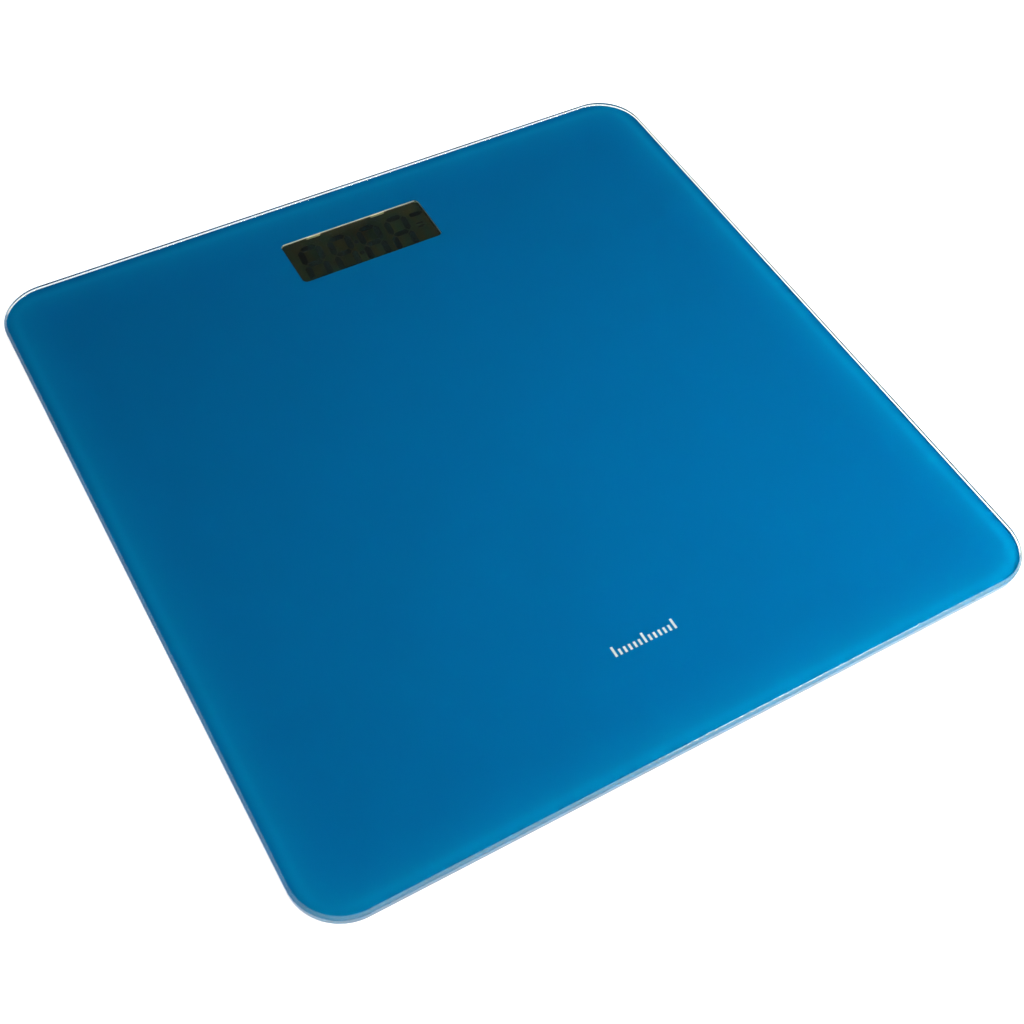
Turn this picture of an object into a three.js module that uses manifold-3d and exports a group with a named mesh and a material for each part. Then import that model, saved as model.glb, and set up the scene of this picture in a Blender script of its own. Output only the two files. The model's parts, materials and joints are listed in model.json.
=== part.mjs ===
// A glass-platform digital scale: a square tempered glass plate on four load-cell feet,
// with a display housing bonded under the window in the glass.
// Units are millimetres. +X is the user's right, +Y points away from the user (the display
// end), +Z is up. The origin is on the floor, under the middle of the plate.

import * as THREE from "three";
import { mergeVertices } from "three/addons/utils/BufferGeometryUtils.js";
import Module from "manifold-3d";

// ---------------------------------------------------------------- driving dimensions

const PLATE = { size: 280, corner: 18.4, thick: 4, top: 20, arrisAbove: 1, arrisBelow: 0.5 };
const UNDERSIDE = PLATE.top - PLATE.thick;

const FILM = { thick: 0.25, margin: 0.5 };
const FILM_BOTTOM = UNDERSIDE - FILM.thick;
const WINDOW = { width: 61, depth: 22.75, corner: 2, y: 109 };

const FOOT = { inset: 39, size: 42, corner: 8, wall: 1.75, bottom: 5, roof: 2 };
const FOOT_X = PLATE.size / 2 - FOOT.inset;
const FOOT_CAVITY = FOOT.size - 2 * FOOT.wall;
const FOOT_ROOF_Z = FILM_BOTTOM - FOOT.roof;
const CELL = { size: 34, corner: 3, z0: 9, z1: 10.5, slot: 2, tongue: 7, free: -11, root: 9 };
const GAUGE_SEAL = { width: 10, depth: 6, corner: 2, y: 8, height: 0.9, flare: 0.4 };
const POST = { size: 7, gap: 0.25 };
const RETAINER = { size: 38, corner: 6, thick: 1.5, hole: 16.5 };
const CAP = { radius: 16.1, wall: 1.6, bottom: 0.75, flange: 18, boss: 3.5 };
const CAP_FLANGE_Z = [7, 8.2];
const CAP_BOSS_TOP = 8.7;
const PAD = { radius: 13.5, thick: 1.75, edge: 0.6, fit: 0.25 };

const LEAD = { radius: 1.1, sides: 8, step: 7, fewest: 22 };
const LEAD_Z = { run: 14.3, inFoot: 12.5, inHousing: 12.5, onBoard: 10.8 };
const LEAD_HOLE = { width: 3.2, z0: 11.1 };
const LEAD_ENTRY = { front: 84, back: 116 };
const BACK_EXIT = 8;
const CLIP = { length: 8, width: 10, z0: 11.75, channel: 3, floor: 12.75 };
const CLIP_Y = [-45, 5];

const HOUSING = { width: 126, depth: 64, corner: 8, wall: 1.75, y: 101 };
const FRAME = { z0: 9, roof: 14.5 };
const COVER = { z0: 3.25, floor: 1.5, z1: 8.75 };
const COVER_INSIDE = COVER.z0 + COVER.floor;

const LCD = { width: 67, depth: 28, thick: 2.75, y: 108.5, ledge: 3, ledgeThick: 1.25 };
const LCD_RIB = { fit: 0.25, wall: 1, z0: 11 };
const LCD_TABS = { x: [-16.1, 12.4], width: 6, reach: 0.5, height: 0.6 };
const ZEBRA = { length: 60, depth: 2, z0: 9.75 };

const BOARD = { x0: -40, x1: 37.5, y0: 82, y1: 122, z0: 8, z1: 9.5 };
const BOARD_SCREWS = [[-29, 86], [29, 86]];
const COVER_SCREWS = [[-55.5, 76.5], [55.5, 76.5], [-55.5, 125.5], [55.5, 125.5]];
const BOARD_SCREW = { shank: 1, head: 2, headThick: 1.2, reach: 4.5, boss: 2.75, pilot: 1.25 };
const COVER_SCREW = { shank: 1.2, head: 2.6, headThick: 1.5, reach: 8, boss: 3.5, pilot: 1.45 };
const COUNTERBORE = { radius: 3, depth: 1.75, boss: 4.5 };

const BAY = { x: 49.5, y: 101, inner: 10.3, outer: 11.3, ceiling: 10.25, roof: 1 };
const COIN = { radius: 10, z0: 5, z1: 8.2, step: 0.4, smallFace: 8.9 };
const CONTACT = { thick: 0.4, z0: 9.75, end: 36.3 };
const DOOR = { x0: 38, x1: 60, depth: 23, fit: 0.25 };
const HINGE = { x: 38, z: 4.5, knuckle: 1.25, pin: 0.7, pinReach: 1.6, bore: 0.95 };
const HINGE_EAR = { thick: 2.25, half: 2, above: 0.5 };
const FINGER_DISH = { reach: 2.5, half: 5, depth: 0.75 };

const BUTTON = { x: -20, y: 92, head: 4, hole: 4.3, flange: 5.25, flangeZ: [5, 5.75] };
const SWITCH = { size: 6, z0: 6.5, bore: 1.75, boreTop: 7.25 };
const PLUNGER = { radius: 1.5, z0: 6.1, z1: 6.8 };
const CHIP = { x: -4, y: 106, radius: 5.5, height: 1.4 };

// Half the number of sides in a quarter turn, for the plate's corners and for all others.
const PLATE_STEPS = 6;
const CORNER_STEPS = 3;
const FINE_STEPS = 2;
const ROUND = 20;
const SMALL_ROUND = 12;
const SCREW_ROUND = 10;

// ---------------------------------------------------------------- materials

function material(color, roughness, metalness = 0) {
  return new THREE.MeshStandardMaterial({ color, roughness, metalness });
}

const MATERIALS = {
  glass: new THREE.MeshStandardMaterial({
    color: 0xdff1f4,
    roughness: 0.05,
    transparent: true,
    opacity: 0.3,
  }),
  film: material(0x005d96, 0.35),
  housing: material(0xe9e8e4, 0.5),
  foot: material(0xe4e3df, 0.5),
  rubber: material(0x3a3c3e, 0.85),
  steel: material(0xb9bcc0, 0.35, 1),
  silicone: material(0xf4f2ec, 0.6),
  lcd: material(0x2a3329, 0.15),
  board: material(0x1f6a3a, 0.45),
  epoxy: material(0x141516, 0.4),
  zebra: material(0x6a6c70, 0.8),
  coin: material(0xd0d2d4, 0.25, 1),
  contact: material(0xc9c3ae, 0.3, 1),
  switchBody: material(0x2b2c2e, 0.5),
  button: material(0x8d9299, 0.55),
  screw: material(0xa9abad, 0.3, 1),
  lead: material(0xc43a34, 0.55),
};

// ---------------------------------------------------------------- solids

const wasm = await Module();
wasm.setup();

// A closed geometry as a manifold-3d solid, with its shared vertices merged.
function solid(geometry) {
  const bare = new THREE.BufferGeometry();
  bare.setAttribute("position", geometry.getAttribute("position"));
  bare.setIndex(geometry.index);
  const merged = mergeVertices(bare, 1e-4);
  const corners = merged.index.array;
  const kept = [];
  for (let i = 0; i < corners.length; i += 3) {
    const [a, b, c] = [corners[i], corners[i + 1], corners[i + 2]];
    if (a !== b && b !== c && c !== a) kept.push(a, b, c);
  }
  return new wasm.Manifold(
    new wasm.Mesh({
      numProp: 3,
      vertProperties: merged.getAttribute("position").array,
      triVerts: new Uint32Array(kept),
    }),
  );
}

function geometryOf(made) {
  const mesh = made.getMesh();
  const geometry = new THREE.BufferGeometry();
  geometry.setAttribute("position", new THREE.BufferAttribute(mesh.vertProperties, 3));
  geometry.setIndex(new THREE.BufferAttribute(mesh.triVerts, 1));
  geometry.computeVertexNormals();
  return geometry;
}

function join(first, ...others) {
  return others.reduce((sum, one) => sum.add(one), first);
}

function cut(from, ...tools) {
  return tools.reduce((rest, tool) => rest.subtract(tool), from);
}

// A rectangle with round corners, centred on (x, y).
function roundedRect(width, depth, radius, x = 0, y = 0) {
  const [w, d] = [width / 2, depth / 2];
  const shape = new THREE.Shape();
  shape.moveTo(x - w + radius, y - d);
  shape.lineTo(x + w - radius, y - d);
  shape.absarc(x + w - radius, y - d + radius, radius, -Math.PI / 2, 0);
  shape.lineTo(x + w, y + d - radius);
  shape.absarc(x + w - radius, y + d - radius, radius, 0, Math.PI / 2);
  shape.lineTo(x - w + radius, y + d);
  shape.absarc(x - w + radius, y + d - radius, radius, Math.PI / 2, Math.PI);
  shape.lineTo(x - w, y - d + radius);
  shape.absarc(x - w + radius, y - d + radius, radius, Math.PI, 1.5 * Math.PI);
  shape.closePath();
  return shape;
}

// A shape pulled straight up from z0 to z1.
function prism(shape, z0, z1, curveSegments = CORNER_STEPS) {
  const geometry = new THREE.ExtrudeGeometry(shape, {
    depth: z1 - z0,
    bevelEnabled: false,
    curveSegments,
  });
  return solid(geometry.translate(0, 0, z0));
}

function box(x0, x1, y0, y1, z0, z1) {
  const geometry = new THREE.BoxGeometry(x1 - x0, y1 - y0, z1 - z0);
  return solid(geometry.translate((x0 + x1) / 2, (y0 + y1) / 2, (z0 + z1) / 2));
}

function disc(radius, z0, z1, x = 0, y = 0, sides = SMALL_ROUND) {
  const geometry = new THREE.CylinderGeometry(radius, radius, z1 - z0, sides);
  return solid(geometry.rotateX(Math.PI / 2).translate(x, y, (z0 + z1) / 2));
}

// A rod along Y, for the hinge.
function rodY(radius, y0, y1, x, z, sides = SMALL_ROUND) {
  const geometry = new THREE.CylinderGeometry(radius, radius, y1 - y0, sides);
  return solid(geometry.translate(x, (y0 + y1) / 2, z));
}

// A profile of [radius, z] pairs, from the bottom up, turned about Z.
function turned(profile, sides = ROUND) {
  const points = profile.map(([r, z]) => new THREE.Vector2(r, z));
  return solid(new THREE.LatheGeometry(points, sides).rotateX(Math.PI / 2));
}

// ---------------------------------------------------------------- the plate

// The wide ground arris is on top, and a narrower one runs round the underside.
function glassPlatform() {
  const { top, arrisAbove, arrisBelow } = PLATE;
  const upper = slab(arrisAbove, UNDERSIDE - arrisAbove, top);
  const lower = slab(arrisBelow, UNDERSIDE, top + arrisBelow);
  return upper.intersect(lower);
}

// The plate's outline from z0 to z1, with a flat arris of the same width at both ends.
function slab(arris, z0, z1) {
  const { size, corner } = PLATE;
  const geometry = new THREE.ExtrudeGeometry(roundedRect(size, size, corner), {
    depth: z1 - z0 - 2 * arris,
    bevelThickness: arris,
    bevelSize: arris,
    bevelOffset: -arris,
    bevelSegments: 1,
    curveSegments: PLATE_STEPS,
  });
  return solid(geometry.translate(0, 0, z0 + arris));
}

function colourFilm() {
  const size = PLATE.size - 2 * FILM.margin;
  const sheet = roundedRect(size, size, PLATE.corner - FILM.margin);
  sheet.holes.push(roundedRect(WINDOW.width, WINDOW.depth, WINDOW.corner, 0, WINDOW.y));
  return prism(sheet, FILM_BOTTOM, UNDERSIDE, PLATE_STEPS);
}

// ---------------------------------------------------------------- the feet

// Built about the foot's own axis, with the lead leaving through the +Y wall.
function footBase(exit) {
  const { size, corner, wall, bottom } = FOOT;
  const shell = prism(roundedRect(size, size, corner), bottom, FILM_BOTTOM);
  const cavity = prism(
    roundedRect(FOOT_CAVITY, FOOT_CAVITY, corner - wall),
    bottom - 1,
    FOOT_ROOF_Z,
  );
  const posts = cornerBlocks(CELL.z1 + POST.gap, FOOT_ROOF_Z + 0.5);
  const half = LEAD_HOLE.width / 2;
  const hole = box(exit - half, exit + half, size / 2 - 3, size / 2 + 1, LEAD_HOLE.z0, FOOT_ROOF_Z);
  return cut(join(cut(shell, cavity), posts.intersect(shell)), hole);
}

// Four blocks in the corners of the foot's cavity, which clamp the load cell's rim.
function cornerBlocks(z0, z1) {
  const [inner, outer] = [FOOT_CAVITY / 2 - POST.size, FOOT_CAVITY / 2 + 0.5];
  const blocks = [];
  for (const sx of [-1, 1]) {
    for (const sy of [-1, 1]) {
      const xs = [sx * inner, sx * outer].sort((a, b) => a - b);
      const ys = [sy * inner, sy * outer].sort((a, b) => a - b);
      blocks.push(box(xs[0], xs[1], ys[0], ys[1], z0, z1));
    }
  }
  return join(...blocks);
}

// A half-bridge cell: a rim, and a tongue freed by a U-shaped slot. The foot presses the
// tongue, and the strain gauge sits on the tongue's root, towards +Y.
function loadCell() {
  const plate = roundedRect(CELL.size, CELL.size, CELL.corner);
  const { slot, tongue, free, root } = CELL;
  const u = new THREE.Path();
  u.moveTo(-tongue - slot, root);
  u.lineTo(-tongue - slot, free - slot);
  u.lineTo(tongue + slot, free - slot);
  u.lineTo(tongue + slot, root);
  u.lineTo(tongue, root);
  u.lineTo(tongue, free);
  u.lineTo(-tongue, free);
  u.lineTo(-tongue, root);
  u.closePath();
  plate.holes.push(u);
  return prism(plate, CELL.z0, CELL.z1, FINE_STEPS);
}

function gaugeSeal() {
  const { width, depth, corner, y, height, flare } = GAUGE_SEAL;
  const layer = height / 3;
  const geometry = new THREE.ExtrudeGeometry(roundedRect(width, depth, corner, 0, y), {
    depth: layer,
    bevelThickness: layer,
    bevelSize: flare,
    bevelSegments: 1,
    curveSegments: FINE_STEPS,
  });
  return solid(geometry.translate(0, 0, CELL.z1 + layer));
}

// Snaps into the base from below. Its corner pillars carry the cell's rim, and its lip
// keeps the foot cap's flange from dropping out.
function footRetainer() {
  const { size, corner, thick, hole } = RETAINER;
  const outline = roundedRect(size, size, corner);
  const lip = prism(outline, FOOT.bottom, FOOT.bottom + thick);
  const bore = disc(hole, FOOT.bottom - 1, FOOT.bottom + thick + 1, 0, 0, ROUND);
  const pillarTop = CELL.z0 - POST.gap;
  const pillars = cornerBlocks(FOOT.bottom + thick - 0.5, pillarTop).intersect(
    prism(outline, FOOT.bottom, pillarTop),
  );
  const flangeRoom = disc(CAP.flange + 0.4, FOOT.bottom + thick, CELL.z0, 0, 0, ROUND);
  return join(cut(lip, bore), cut(pillars, flangeRoom));
}

function footCap() {
  const { radius, wall, bottom, flange, boss } = CAP;
  const [flangeLow, flangeHigh] = CAP_FLANGE_Z;
  const recess = PAD.radius + PAD.fit;
  const floor = PAD.thick + 1.25;
  return turned([
    [0, PAD.thick],
    [recess, PAD.thick],
    [recess, bottom],
    [radius - 0.6, bottom],
    [radius, bottom + 0.6],
    [radius, flangeLow],
    [flange, flangeLow],
    [flange, flangeHigh],
    [radius - wall, flangeHigh],
    [radius - wall, floor],
    [boss, floor],
    [boss, CAP_BOSS_TOP],
    [0, CAP_BOSS_TOP],
  ]);
}

function footPad() {
  const { radius, thick, edge } = PAD;
  return turned([
    [0, 0],
    [radius - edge, 0],
    [radius, edge],
    [radius, thick],
    [0, thick],
  ]);
}

// ---------------------------------------------------------------- the leads

// Three wires in one bundle, from the gauge in the foot to the board in the housing.
function cellLead(points) {
  const path = new THREE.CatmullRomCurve3(points.map((p) => new THREE.Vector3(...p)));
  const section = new THREE.Shape().absarc(0, 0, LEAD.radius, 0, 2 * Math.PI);
  const steps = Math.max(LEAD.fewest, Math.round(path.getLength() / LEAD.step));
  const options = { steps, extrudePath: path, curveSegments: LEAD.sides / 2 };
  return solid(new THREE.ExtrudeGeometry(section, options));
}

// The routes are for the right-hand side; the left-hand ones are their mirror images.
const FRONT_ROUTE = [
  [FOOT_X, -FOOT_X + 11.5, LEAD_Z.inFoot],
  [FOOT_X, -FOOT_X + 18, LEAD_Z.inFoot],
  [FOOT_X, -FOOT_X + 23, LEAD_Z.inFoot],
  [FOOT_X, -FOOT_X + 30, LEAD_Z.run - 0.2],
  [FOOT_X, -FOOT_X + 38, LEAD_Z.run],
  [FOOT_X, -40, LEAD_Z.run],
  [FOOT_X, -15, LEAD_Z.run],
  [FOOT_X, 8, LEAD_Z.run],
  [FOOT_X, 24, LEAD_Z.run],
  [FOOT_X - 3, 42, LEAD_Z.run],
  [FOOT_X - 11, 59, LEAD_Z.run],
  [FOOT_X - 22, 73, LEAD_Z.run],
  [FOOT_X - 31, LEAD_ENTRY.front - 2, LEAD_Z.run - 0.6],
  [HOUSING.width / 2 + 1, LEAD_ENTRY.front, LEAD_Z.inHousing],
  [HOUSING.width / 2 - 4, LEAD_ENTRY.front, LEAD_Z.inHousing],
  [CONTACT.end + 12, LEAD_ENTRY.front, LEAD_Z.onBoard + 0.8],
  [CONTACT.end, LEAD_ENTRY.front, LEAD_Z.onBoard],
];
const BACK_ROUTE = [
  [FOOT_X - 11.7, FOOT_X, LEAD_Z.inFoot],
  [FOOT_X - 13.5, FOOT_X + 4, LEAD_Z.inFoot],
  [FOOT_X - 17, FOOT_X + BACK_EXIT - 0.4, LEAD_Z.inFoot],
  [FOOT_X - 20, FOOT_X + BACK_EXIT, LEAD_Z.inFoot],
  [FOOT_X - 23, FOOT_X + BACK_EXIT, LEAD_Z.inFoot],
  [FOOT_X - 28, FOOT_X + BACK_EXIT + 2, LEAD_Z.inFoot + 0.3],
  [FOOT_X - 33, LEAD_ENTRY.back - 1.5, LEAD_Z.inFoot + 0.3],
  [HOUSING.width / 2 + 1, LEAD_ENTRY.back, LEAD_Z.inHousing],
  [HOUSING.width / 2 - 4, LEAD_ENTRY.back, LEAD_Z.inHousing],
  [CONTACT.end + 12, LEAD_ENTRY.back, LEAD_Z.onBoard + 0.8],
  [CONTACT.end, LEAD_ENTRY.back, LEAD_Z.onBoard],
];

// A stick-on saddle over a lead that runs along Y.
function leadClip() {
  const { length, width, z0, channel, floor } = CLIP;
  const body = prism(roundedRect(width, length, 1.5), z0, FILM_BOTTOM, FINE_STEPS);
  const room = box(-channel / 2, channel / 2, -length, length, floor, FILM_BOTTOM + 1);
  return cut(body, room);
}

// ---------------------------------------------------------------- the display housing

function housingFrame() {
  const { width, depth, corner, wall, y } = HOUSING;
  const outside = prism(roundedRect(width, depth, corner, 0, y), FRAME.z0, FILM_BOTTOM);
  const inside = prism(
    roundedRect(width - 2 * wall, depth - 2 * wall, corner - wall, 0, y),
    FRAME.z0 - 1,
    FRAME.roof,
  );
  const pocket = [LCD.width + 2 * LCD_RIB.fit, LCD.depth + 2 * LCD_RIB.fit];
  const ribOutside = pocket.map((side) => side + 2 * LCD_RIB.wall);
  const rib = cut(
    prism(roundedRect(...ribOutside, 1, 0, LCD.y), LCD_RIB.z0, FRAME.roof + 0.5, FINE_STEPS),
    prism(roundedRect(...pocket, 0.5, 0, LCD.y), LCD_RIB.z0 - 1, FRAME.roof, FINE_STEPS),
  );
  const bosses = [];
  const pilots = [];
  for (const [sx, sy] of COVER_SCREWS) {
    bosses.push(disc(COVER_SCREW.boss, FRAME.z0, FRAME.roof + 0.5, sx, sy));
    pilots.push(disc(COVER_SCREW.pilot, FRAME.z0 - 1, FRAME.roof - 1, sx, sy));
  }
  for (const [sx, sy] of BOARD_SCREWS) {
    bosses.push(disc(BOARD_SCREW.boss, BOARD.z1 + 0.25, FRAME.roof + 0.5, sx, sy));
    pilots.push(disc(BOARD_SCREW.pilot, FRAME.z0 - 1, FRAME.roof - 1, sx, sy));
  }
  const { width: w, depth: d, corner: r } = WINDOW;
  const window = prism(roundedRect(w, d, r, 0, WINDOW.y), LCD_RIB.z0, FILM_BOTTOM + 1, FINE_STEPS);
  const entries = leadEntries(FRAME.z0 - 1, FRAME.roof);
  const shell = join(cut(outside, inside), rib, ...bosses);
  return join(cut(shell, window, ...pilots, ...entries), ...displayTabs());
}

// Snap tabs on the window's far wall, which hold the display's back edge.
function displayTabs() {
  const wallY = WINDOW.y + WINDOW.depth / 2;
  const { x, width, reach, height } = LCD_TABS;
  return x.map((at) => {
    const [x0, x1] = [at - width / 2, at + width / 2];
    return box(x0, x1, wallY - reach, wallY + 0.5, FRAME.roof, FRAME.roof + height);
  });
}

// Slots for the four leads, in the housing's side walls.
function leadEntries(z0, z1) {
  const [inner, outer] = [HOUSING.width / 2 - HOUSING.wall - 1, HOUSING.width / 2 + 1];
  const half = LEAD_HOLE.width / 2;
  const slots = [];
  for (const y of [LEAD_ENTRY.front, LEAD_ENTRY.back]) {
    slots.push(box(inner, outer, y - half, y + half, z0, z1));
    slots.push(box(-outer, -inner, y - half, y + half, z0, z1));
  }
  return slots;
}

// Two sheets of glass. The rear sheet stops short at the front, which leaves the ledge of
// contacts on the front sheet bare for the rubber connector.
function lcdPanel() {
  const { width, depth, thick, y, ledge, ledgeThick } = LCD;
  const top = FRAME.roof;
  const bottom = top - thick;
  const slab = box(-width / 2, width / 2, y - depth / 2, y + depth / 2, bottom, top);
  const step = box(-width, width, y - depth, y - depth / 2 + ledge, bottom - 1, top - ledgeThick);
  return cut(slab, step);
}

function zebraConnector() {
  const y0 = LCD.y - LCD.depth / 2 + 0.5;
  const top = FRAME.roof - LCD.ledgeThick - 0.25;
  return box(-ZEBRA.length / 2, ZEBRA.length / 2, y0, y0 + ZEBRA.depth, ZEBRA.z0, top);
}

function circuitBoard() {
  const [width, depth] = [BOARD.x1 - BOARD.x0, BOARD.y1 - BOARD.y0];
  const [x, y] = [(BOARD.x0 + BOARD.x1) / 2, (BOARD.y0 + BOARD.y1) / 2];
  const holes = BOARD_SCREWS.map(([sx, sy]) =>
    disc(BOARD_SCREW.pilot, BOARD.z0 - 1, BOARD.z1 + 1, sx, sy),
  );
  return cut(prism(roundedRect(width, depth, 1, x, y), BOARD.z0, BOARD.z1, FINE_STEPS), ...holes);
}

function chipBlob() {
  const { x, y, radius, height } = CHIP;
  const dome = turned(
    [
      [0, -height],
      [radius * 0.5, -height * 0.85],
      [radius * 0.85, -height * 0.45],
      [radius, 0],
      [0, 0],
    ],
    20,
  );
  return dome.translate([x, y, BOARD.z0]);
}

// ---------------------------------------------------------------- the unit button

function switchBody() {
  const half = SWITCH.size / 2;
  const { x, y } = BUTTON;
  const body = box(x - half, x + half, y - half, y + half, SWITCH.z0, BOARD.z0);
  return cut(body, disc(SWITCH.bore, SWITCH.z0 - 1, SWITCH.boreTop, x, y));
}

function switchPlunger() {
  return disc(PLUNGER.radius, PLUNGER.z0, PLUNGER.z1, BUTTON.x, BUTTON.y);
}

function unitButton() {
  const { x, y, head, flange, flangeZ } = BUTTON;
  return turned([
    [0, COVER.z0],
    [head - 0.4, COVER.z0],
    [head, COVER.z0 + 0.4],
    [head, flangeZ[0]],
    [flange, flangeZ[0]],
    [flange, flangeZ[1]],
    [0, flangeZ[1]],
  ], 24).translate([x, y, 0]);
}

// ---------------------------------------------------------------- the back cover

function backCover() {
  const { width, depth, corner, wall, y } = HOUSING;
  const outside = prism(roundedRect(width, depth, corner, 0, y), COVER.z0, COVER.z1);
  const inside = prism(
    roundedRect(width - 2 * wall, depth - 2 * wall, corner - wall, 0, y),
    COVER_INSIDE,
    COVER.z1 + 1,
  );
  const bayWall = disc(BAY.outer, COVER_INSIDE - 0.5, BAY.ceiling + BAY.roof, BAY.x, BAY.y, ROUND);
  const bayRoom = disc(BAY.inner, COVER.z0 - 1, BAY.ceiling, BAY.x, BAY.y, ROUND);
  const bosses = COVER_SCREWS.map(([sx, sy]) =>
    disc(COUNTERBORE.boss, COVER.z0, COVER.z1 - 0.25, sx, sy),
  );
  const bores = [];
  for (const [sx, sy] of COVER_SCREWS) {
    const seat = COVER.z0 + COUNTERBORE.depth;
    bores.push(disc(COUNTERBORE.radius, COVER.z0 - 1, seat, sx, sy));
    bores.push(disc(COVER_SCREW.pilot, seat - 0.5, COVER.z1 + 1, sx, sy));
  }
  const buttonHole = disc(BUTTON.hole, COVER.z0 - 1, COVER_INSIDE + 1, BUTTON.x, BUTTON.y, 24);
  const shell = join(cut(outside, inside), bayWall, ...bosses, ...hingeEars());
  return cut(shell, bayRoom, ...bores, buttonHole, ...doorOpening(), ...contactSlots());
}

// The door's hole in the floor, with room for its knuckle, and the pins' sockets.
function doorOpening() {
  const { x0, x1, depth, fit } = DOOR;
  const half = depth / 2 + fit;
  const left = x0 - HINGE.knuckle - fit;
  const hole = box(left, x1 + fit, BAY.y - half, BAY.y + half, COVER.z0 - 1, COVER_INSIDE);
  const top = HINGE.z + HINGE.knuckle + fit;
  const right = x0 + HINGE.knuckle + fit;
  const knuckleRoom = box(left, right, BAY.y - half, BAY.y + half, COVER.z0 - 1, top);
  const reach = depth / 2 + HINGE.pinReach + fit;
  const sockets = rodY(HINGE.bore, BAY.y - reach, BAY.y + reach, HINGE.x, HINGE.z);
  return [hole, knuckleRoom, sockets];
}

function hingeEars() {
  const inner = DOOR.depth / 2 + DOOR.fit;
  const outer = inner + HINGE_EAR.thick;
  const [x0, x1] = [HINGE.x - HINGE_EAR.half, HINGE.x + HINGE_EAR.half];
  const top = HINGE.z + HINGE.knuckle + HINGE_EAR.above;
  return [
    box(x0, x1, BAY.y - outer, BAY.y - inner, COVER.z0, top),
    box(x0, x1, BAY.y + inner, BAY.y + outer, COVER.z0, top),
  ];
}

function contactSlots() {
  const top = CONTACT.z0 + CONTACT.thick + 0.25;
  return [
    box(BAY.x - 3, BAY.x + 3, BAY.y - BAY.outer - 1, BAY.y - COIN.radius, COIN.z0, top),
    box(CONTACT.end - 1, BAY.x + 3, BAY.y - 14, BAY.y - COIN.radius, BOARD.z1, top),
    box(CONTACT.end - 1, BAY.x - 6, BAY.y - 2.5, BAY.y + 2.5, BOARD.z1, BAY.ceiling),
  ];
}

// ---------------------------------------------------------------- the battery and its door

function coinCell() {
  const { radius, z0, z1, step, smallFace } = COIN;
  const profile = [
    [0, z0],
    [radius - 0.3, z0],
    [radius, z0 + 0.3],
    [radius, z1 - step - 0.2],
    [radius - 0.2, z1 - step],
    [smallFace, z1 - step],
    [smallFace, z1],
    [0, z1],
  ];
  return turned(profile).translate([BAY.x, BAY.y, 0]);
}

// Stands against the cell's rim, and runs over the board's edge.
function positiveContact() {
  const { thick, z0, end } = CONTACT;
  const back = BAY.y - COIN.radius - 0.15;
  const upright = box(BAY.x - 2.25, BAY.x + 2.25, back - thick, back, COIN.z0 + 0.25, z0 + thick);
  const tail = box(end, BAY.x + 2.25, BAY.y - 13.25, back, z0, z0 + thick);
  return join(upright, tail);
}

// A strip under the bay's ceiling whose sprung end dips to the cell's small face.
function negativeContact() {
  const { thick, z0, end } = CONTACT;
  const dip = COIN.z1 + 0.1;
  const side = new THREE.Shape();
  side.moveTo(end, z0);
  side.lineTo(BAY.x - 5, z0);
  side.lineTo(BAY.x, dip);
  side.lineTo(BAY.x + 2, dip);
  side.lineTo(BAY.x + 4, dip + 0.5);
  side.lineTo(BAY.x + 4, dip + 0.5 + thick);
  side.lineTo(BAY.x + 2, dip + thick);
  side.lineTo(BAY.x, dip + thick);
  side.lineTo(BAY.x - 5, z0 + thick);
  side.lineTo(end, z0 + thick);
  side.closePath();
  const geometry = new THREE.ExtrudeGeometry(side, { depth: 4, bevelEnabled: false });
  return solid(geometry.rotateX(Math.PI / 2).translate(0, BAY.y + 2, 0));
}

function batteryDoor() {
  const { x0, x1, depth } = DOOR;
  const half = depth / 2;
  const plate = box(x0, x1, BAY.y - half, BAY.y + half, COVER.z0, COVER_INSIDE);
  const knuckle = rodY(HINGE.knuckle, BAY.y - half, BAY.y + half, HINGE.x, HINGE.z);
  const reach = half + HINGE.pinReach;
  const pins = rodY(HINGE.pin, BAY.y - reach, BAY.y + reach, HINGE.x, HINGE.z);
  const { reach: dishReach, half: dishHalf, depth: dishDepth } = FINGER_DISH;
  const [dishY0, dishY1] = [BAY.y - dishHalf, BAY.y + dishHalf];
  const dish = box(x1 - dishReach, x1 + 1, dishY0, dishY1, COVER.z0 - 1, COVER.z0 + dishDepth);
  return cut(join(plate, knuckle, pins), dish);
}

// ---------------------------------------------------------------- screws

// A pan-head screw with a cross recess, head down, its seat at z = 0.
function screw({ shank, head, headThick, reach }) {
  const body = turned(
    [
      [0, -headThick],
      [head * 0.7, -headThick],
      [head, -headThick * 0.5],
      [head, 0],
      [shank, 0],
      [shank, reach],
      [0, reach],
    ],
    SCREW_ROUND,
  );
  const [arm, half] = [head * 0.55, head * 0.12];
  const depth = -headThick * 0.4;
  const crossA = box(-arm, arm, -half, half, -headThick - 1, depth);
  const crossB = box(-half, half, -arm, arm, -headThick - 1, depth);
  return cut(body, crossA, crossB);
}

// ---------------------------------------------------------------- assembly

const scale = new THREE.Group();

function place(parent, name, made, finish) {
  const mesh = new THREE.Mesh(geometryOf(made), finish);
  mesh.name = name;
  parent.add(mesh);
  return mesh;
}

const M = MATERIALS;
place(scale, "glass_platform", glassPlatform(), M.glass);
place(scale, "colour_film", colourFilm(), M.film);

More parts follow.
